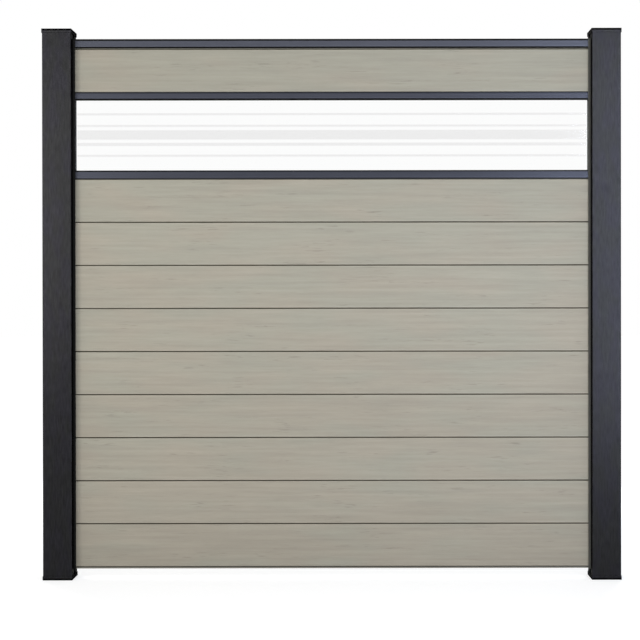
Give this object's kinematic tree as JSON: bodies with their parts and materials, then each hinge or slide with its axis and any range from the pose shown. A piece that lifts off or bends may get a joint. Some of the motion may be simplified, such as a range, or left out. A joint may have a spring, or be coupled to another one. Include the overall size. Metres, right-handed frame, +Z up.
{
  "type": "privacy fence panel",
  "caption": "One bay of slot-in privacy fence: grooved composite boards between two square posts, with rails and a striped satin glass insert near the top.",
  "frame": {"origin": "centre of the flat underside of the left post's foot, on the ground", "axes": "+X along the panel to the right post, -Y is the front, +Z up"},
  "size_m": [2.0046, 0.1046, 1.907],
  "materials": {
    "post_coating": "satin",
    "black_liner": "matte",
    "board_composite": "matte",
    "rail_aluminium": "satin",
    "rubber_seal": "matte",
    "satin_glass": "gloss"
  },
  "bodies": {
    "root": {"left_post": "post_coating", "right_post": "post_coating", "left_post_cap": "post_coating", "right_post_cap": "post_coating", "left_post_foot": "post_coating", "right_post_foot": "post_coating", "left_groove_liner": "black_liner", "right_groove_liner": "black_liner", "bottom_rail": "rail_aluminium", "board_1": "board_composite", "board_2": "board_composite", "board_3": "board_composite", "board_4": "board_composite", "board_5": "board_composite", "board_6": "board_composite", "board_7": "board_composite", "board_8": "board_composite", "board_9": "board_composite", "lower_glass_rail": "rail_aluminium", "lower_glass_seal": "rubber_seal", "glass_panel": "satin_glass", "left_glass_seal": "rubber_seal", "right_glass_seal": "rubber_seal", "upper_glass_seal": "rubber_seal", "upper_glass_rail": "rail_aluminium", "top_board": "board_composite", "top_rail": "rail_aluminium"}
  },
  "joints": []
}
